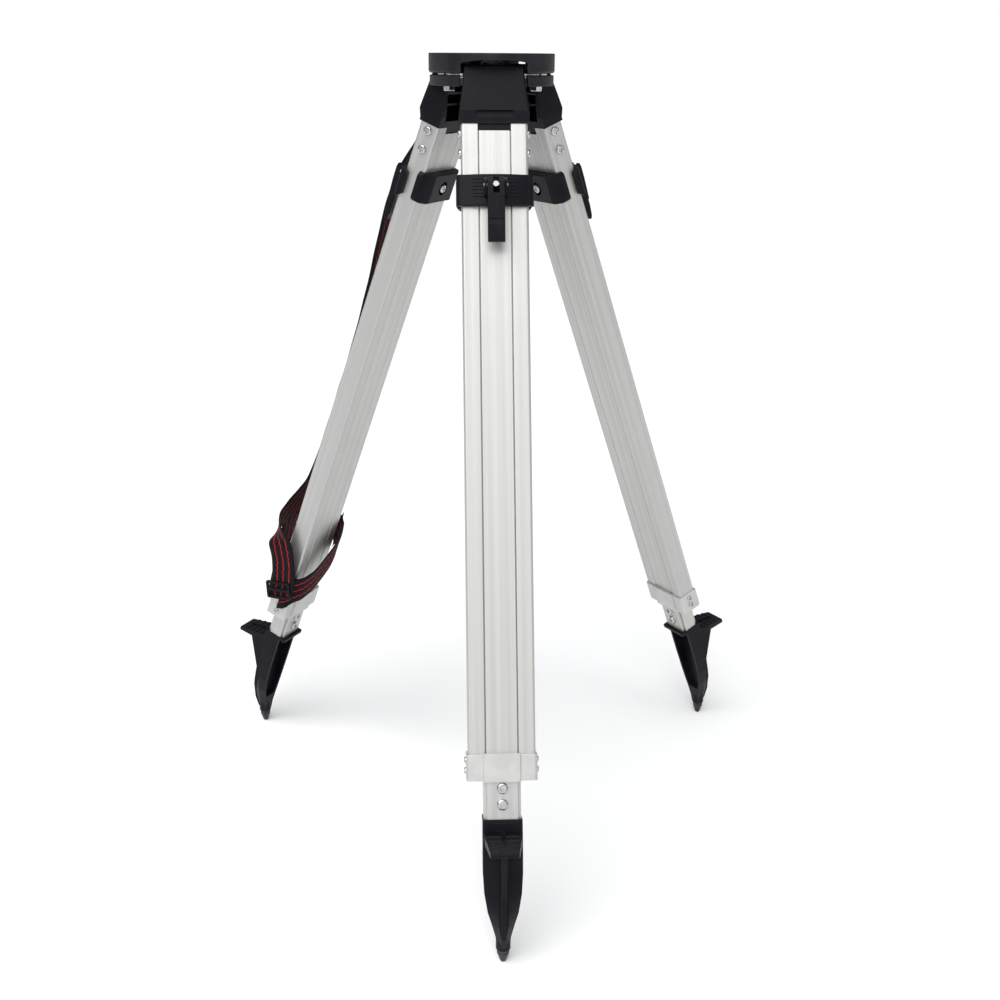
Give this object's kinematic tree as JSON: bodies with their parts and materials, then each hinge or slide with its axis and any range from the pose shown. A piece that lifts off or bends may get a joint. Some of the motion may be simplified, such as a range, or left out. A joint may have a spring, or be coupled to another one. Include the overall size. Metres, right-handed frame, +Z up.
{
  "type": "surveyor tripod",
  "caption": "Flat-head surveying tripod with telescopic aluminium legs, cam-lever clamps, spiked push-step boots and a carrying strap on one leg.",
  "frame": {"origin": "on the tripod's axis at the head's top face, at the top of the fixing screw", "axes": "+Z up out of the head; the front leg points along -Y, the other two at 120 degrees to it"},
  "size_m": [0.7299, 0.647, 0.9723],
  "materials": {
    "satin_aluminium": "satin",
    "light_grey_collar": "matte cast",
    "black_plastic": "matte moulded",
    "lever_black": "semi-gloss moulded",
    "head_black": "black textured coating",
    "zinc_steel": "bright zinc",
    "black_steel": "black",
    "strap_webbing": "woven, with thin red lines"
  },
  "bodies": {
    "head": {"head_plate": "head_black", "bearing_cap_right": "black_plastic", "bearing_cap_back": "black_plastic", "bearing_cap_left": "black_plastic", "cap_bolts": "zinc_steel", "hinge_pins": "zinc_steel", "arm_pivot": "black_steel"},
    "arm": {"swivel_arm": "black_steel"},
    "carriage": {"screw_carriage": "black_steel"},
    "plumb_hook": {"plumb_hook": "zinc_steel"},
    "fixing_screw": {"instrument_screw": "zinc_steel", "screw_handle": "black_plastic"},
    "front_leg": {"front_top_casting": "black_plastic", "front_rail_a": "satin_aluminium", "front_rail_b": "satin_aluminium", "front_collar": "light_grey_collar", "front_rail_screws": "zinc_steel"},
    "front_inner": {"front_inner_leg": "satin_aluminium", "front_clamp_band": "black_plastic", "front_clamp_plate": "black_plastic", "front_draw_bolt": "zinc_steel", "front_lever_pin": "zinc_steel", "front_boot": "black_plastic", "front_boot_bolts": "zinc_steel", "front_foot_point": "black_steel"},
    "front_lever": {"front_lever": "lever_black"},
    "right_leg": {"right_top_casting": "black_plastic", "right_rail_a": "satin_aluminium", "right_rail_b": "satin_aluminium", "right_collar": "light_grey_collar", "right_rail_screws": "zinc_steel"},
    "right_inner": {"right_inner_leg": "satin_aluminium", "right_clamp_band": "black_plastic", "right_clamp_plate": "black_plastic", "right_draw_bolt": "zinc_steel", "right_lever_pin": "zinc_steel", "right_boot": "black_plastic", "right_boot_bolts": "zinc_steel", "right_foot_point": "black_steel"},
    "right_lever": {"right_lever": "lever_black"},
    "left_leg": {"left_top_casting": "black_plastic", "left_rail_a": "satin_aluminium", "left_rail_b": "satin_aluminium", "left_collar": "light_grey_collar", "left_rail_screws": "zinc_steel", "strap_anchor": "black_plastic", "strap_webbing": "strap_webbing", "strap_loop": "strap_webbing", "strap_buckle": "black_plastic"},
    "left_inner": {"left_inner_leg": "satin_aluminium", "left_clamp_band": "black_plastic", "left_clamp_plate": "black_plastic", "left_draw_bolt": "zinc_steel", "left_lever_pin": "zinc_steel", "left_boot": "black_plastic", "left_boot_bolts": "zinc_steel", "left_foot_point": "black_steel"},
    "left_lever": {"left_lever": "lever_black"}
  },
  "joints": [
    {"name": "front_leg_hinge", "type": "hinge", "parent": "head", "child": "front_leg", "pos_m": [0, -0.0401, -0.0231], "axis": [-1, 0, 0], "range_deg": [-21.07, 15]},
    {"name": "front_leg_slide", "type": "slide", "parent": "front_leg", "child": "front_inner", "axis": [0, -0.3595, -0.9331], "range_m": [0, 0.6]},
    {"name": "front_lever_hinge", "type": "hinge", "parent": "front_inner", "child": "front_lever", "pos_m": [0, -0.11796, -0.13896], "axis": [-1, 0, 0], "range_deg": [0, 100]},
    {"name": "right_leg_hinge", "type": "hinge", "parent": "head", "child": "right_leg", "pos_m": [0.03473, 0.02005, -0.0231], "axis": [0.5, -0.866, 0], "range_deg": [-21.07, 15]},
    {"name": "right_leg_slide", "type": "slide", "parent": "right_leg", "child": "right_inner", "axis": [0.3113, 0.1798, -0.9331], "range_m": [0, 0.6]},
    {"name": "right_lever_hinge", "type": "hinge", "parent": "right_inner", "child": "right_lever", "pos_m": [0.10215, 0.05898, -0.13896], "axis": [0.5, -0.866, 0], "range_deg": [0, 100]},
    {"name": "left_leg_hinge", "type": "hinge", "parent": "head", "child": "left_leg", "pos_m": [-0.03473, 0.02005, -0.0231], "axis": [0.5, 0.866, 0], "range_deg": [-21.07, 15]},
    {"name": "left_leg_slide", "type": "slide", "parent": "left_leg", "child": "left_inner", "axis": [-0.3113, 0.1798, -0.9331], "range_m": [0, 0.6]},
    {"name": "left_lever_hinge", "type": "hinge", "parent": "left_inner", "child": "left_lever", "pos_m": [-0.10215, 0.05898, -0.13896], "axis": [0.5, 0.866, 0], "range_deg": [0, 100]},
    {"name": "arm_swivel", "type": "hinge", "parent": "head", "child": "arm", "pos_m": [0, 0.035, -0.0115], "axis": [0, 0, 1], "range_deg": [-18, 18]},
    {"name": "carriage_slide", "type": "slide", "parent": "arm", "child": "carriage", "axis": [0, -1, 0], "range_m": [-0.005, 0.012]},
    {"name": "screw_lift", "type": "slide", "parent": "carriage", "child": "plumb_hook", "axis": [0, 0, 1], "range_m": [0, 0.0115]},
    {"name": "screw_turn", "type": "hinge", "parent": "plumb_hook", "child": "fixing_screw", "pos_m": [0, 0, -0.04], "axis": [0, 0, 1], "continuous": true}
  ]
}
